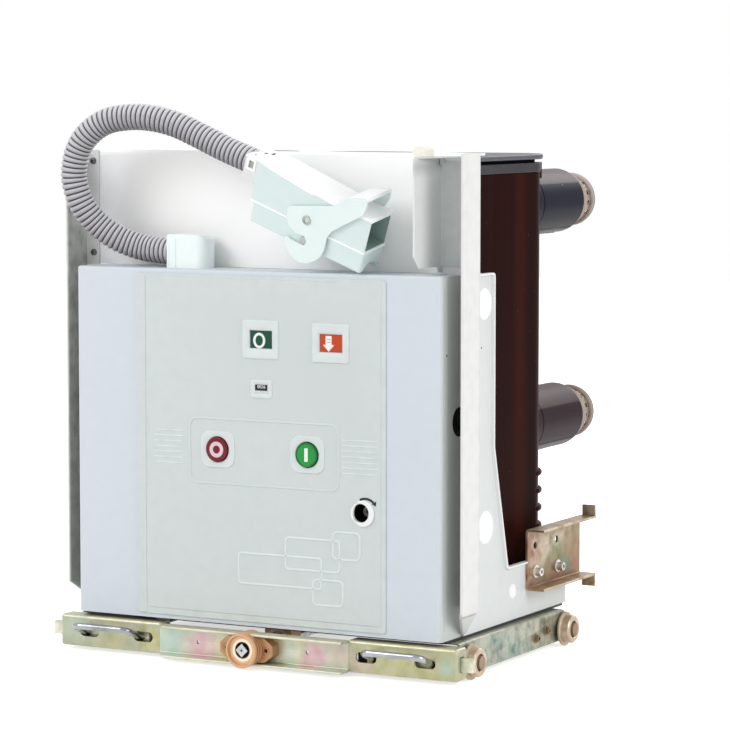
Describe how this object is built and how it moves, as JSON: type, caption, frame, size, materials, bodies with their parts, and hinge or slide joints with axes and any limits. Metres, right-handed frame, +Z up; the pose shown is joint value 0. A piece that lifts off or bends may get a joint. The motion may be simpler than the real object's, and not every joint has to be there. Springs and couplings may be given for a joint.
{
  "type": "withdrawable vacuum circuit breaker",
  "caption": "Indoor vacuum circuit breaker on a rolling truck, with a mechanism housing, insulated poles with plug-in contact arms, a racking drive and a hose with a control plug.",
  "frame": {"origin": "on the floor under the wheels, midway between the frontmost and rearmost points of the breaker without its hose and plug", "axes": "+Z up, the front cover faces -Y, the contact arms point along +Y, +X to the right of someone who faces the cover"},
  "size_m": [0.574, 0.565, 0.6671],
  "materials": {
    "zinc_plate": "yellow passivated zinc, satin",
    "zinc_middle": "iridescent passivated zinc, satin",
    "zinc_rail": "green passivated zinc, satin",
    "socket_brass": "passivated steel, satin",
    "bright_steel": "machined",
    "chrome_bar": "polished",
    "black_sheet": "matt",
    "wheel_steel": "passivated zinc, worn",
    "housing_paint": "fine powder coat",
    "plate_paint": "fine powder coat",
    "side_paint": "fine powder coat",
    "baffle_paint": "fine powder coat",
    "window_green": "clear window over a green flag",
    "window_orange": "clear window over an orange flag",
    "counter_black": "gloss",
    "button_red": "gloss",
    "button_green": "gloss",
    "dark_steel": "oiled",
    "bumper_rubber": "soft",
    "epoxy_brown": "gloss cast resin",
    "cap_grey": "satin",
    "sleeve_grey": "gloss",
    "sleeve_brown": "gloss",
    "contact_copper": "silver plated copper",
    "bracket_zinc": "iridescent passivated zinc",
    "hose_plastic": "satin corrugated plastic",
    "plug_plastic": "satin moulding"
  },
  "bodies": {
    "truck": {"screw_nut": "socket_brass", "rail_left": "zinc_rail", "rail_right": "zinc_rail", "rear_crossbar": "zinc_rail", "base_plate": "black_sheet", "axles": "dark_steel", "mechanism_housing": "housing_paint", "front_cover": "housing_paint", "face_plate": "plate_paint", "position_window": "window_green", "spring_window": "window_orange", "counter_window": "counter_black", "side_plate_left": "side_paint", "side_plate_right": "side_paint", "column_left": "side_paint", "column_right": "side_paint", "baffle_panel": "baffle_paint", "plug_holder": "side_paint", "rubber_bumper": "bumper_rubber", "pole_left": "epoxy_brown", "pole_middle": "epoxy_brown", "pole_right": "epoxy_brown", "pole_caps": "cap_grey", "upper_arms": "sleeve_grey", "lower_arms": "sleeve_brown", "upper_contacts": "contact_copper", "lower_contacts": "contact_copper", "shutter_bracket_left": "bracket_zinc", "shutter_bracket_right": "bracket_zinc", "hose_elbow": "plug_plastic", "hose": "hose_plastic", "plug_cover": "plug_plastic", "plug_base": "plug_plastic"},
    "beam": {"front_beam_left": "zinc_plate", "front_beam_middle": "zinc_middle", "front_beam_right": "zinc_plate", "guide_bars": "zinc_rail", "racking_socket": "socket_brass"},
    "screw": {"racking_screw": "bright_steel"},
    "left_latch": {"latch_left": "zinc_plate", "handle_left": "chrome_bar"},
    "right_latch": {"latch_right": "zinc_plate", "handle_right": "chrome_bar"},
    "trip": {"trip_button": "button_red"},
    "close": {"close_button": "button_green"},
    "charging": {"charging_shaft": "dark_steel"},
    "lever": {"plug_lever": "plug_plastic"},
    "wheel_front_left": {"wheel_front_left": "wheel_steel"},
    "wheel_front_right": {"wheel_front_right": "wheel_steel"},
    "wheel_rear_left": {"wheel_rear_left": "wheel_steel"},
    "wheel_rear_right": {"wheel_rear_right": "wheel_steel"}
  },
  "joints": [
    {"name": "racking_slide", "type": "slide", "parent": "truck", "child": "beam", "axis": [0, -1, 0], "range_m": [0, 0.2]},
    {"name": "racking_turn", "type": "hinge", "parent": "beam", "child": "screw", "pos_m": [0, -0.2475, 0.02425], "axis": [0, -1, 0], "range_deg": [0, 7200]},
    {"name": "left_latch_slide", "type": "slide", "parent": "beam", "child": "left_latch", "axis": [1, 0, 0], "range_m": [0, 0.015], "stiffness_N_per_m": 600, "springref_m": -0.01},
    {"name": "right_latch_slide", "type": "slide", "parent": "beam", "child": "right_latch", "axis": [-1, 0, 0], "range_m": [0, 0.015], "stiffness_N_per_m": 600, "springref_m": -0.01},
    {"name": "trip_press", "type": "slide", "parent": "truck", "child": "trip", "axis": [0, 1, 0], "range_m": [0, 0.004], "stiffness_N_per_m": 1200, "springref_m": -0.003},
    {"name": "close_press", "type": "slide", "parent": "truck", "child": "close", "axis": [0, 1, 0], "range_m": [0, 0.004], "stiffness_N_per_m": 1200, "springref_m": -0.003},
    {"name": "charging_turn", "type": "hinge", "parent": "truck", "child": "charging", "pos_m": [0.145, -0.2275, 0.1935], "axis": [0, -1, 0], "continuous": true},
    {"name": "lever_swing", "type": "hinge", "parent": "truck", "child": "lever", "pos_m": [0.08421, -0.23937, 0.53914], "axis": [-0.0843, -0.9744, -0.2086], "range_deg": [0, 60]},
    {"name": "wheel_front_left_roll", "type": "hinge", "parent": "truck", "child": "wheel_front_left", "pos_m": [-0.2695, -0.2005, 0.021], "axis": [1, 0, 0], "continuous": true},
    {"name": "wheel_front_right_roll", "type": "hinge", "parent": "truck", "child": "wheel_front_right", "pos_m": [0.2695, -0.2005, 0.021], "axis": [1, 0, 0], "continuous": true},
    {"name": "wheel_rear_left_roll", "type": "hinge", "parent": "truck", "child": "wheel_rear_left", "pos_m": [-0.2695, 0.0605, 0.021], "axis": [1, 0, 0], "continuous": true},
    {"name": "wheel_rear_right_roll", "type": "hinge", "parent": "truck", "child": "wheel_rear_right", "pos_m": [0.2695, 0.0605, 0.021], "axis": [1, 0, 0], "continuous": true}
  ],
  "couplings": [
    {"joint": "racking_turn", "follows": "racking_slide", "rad_per_m": 628.3}
  ]
}
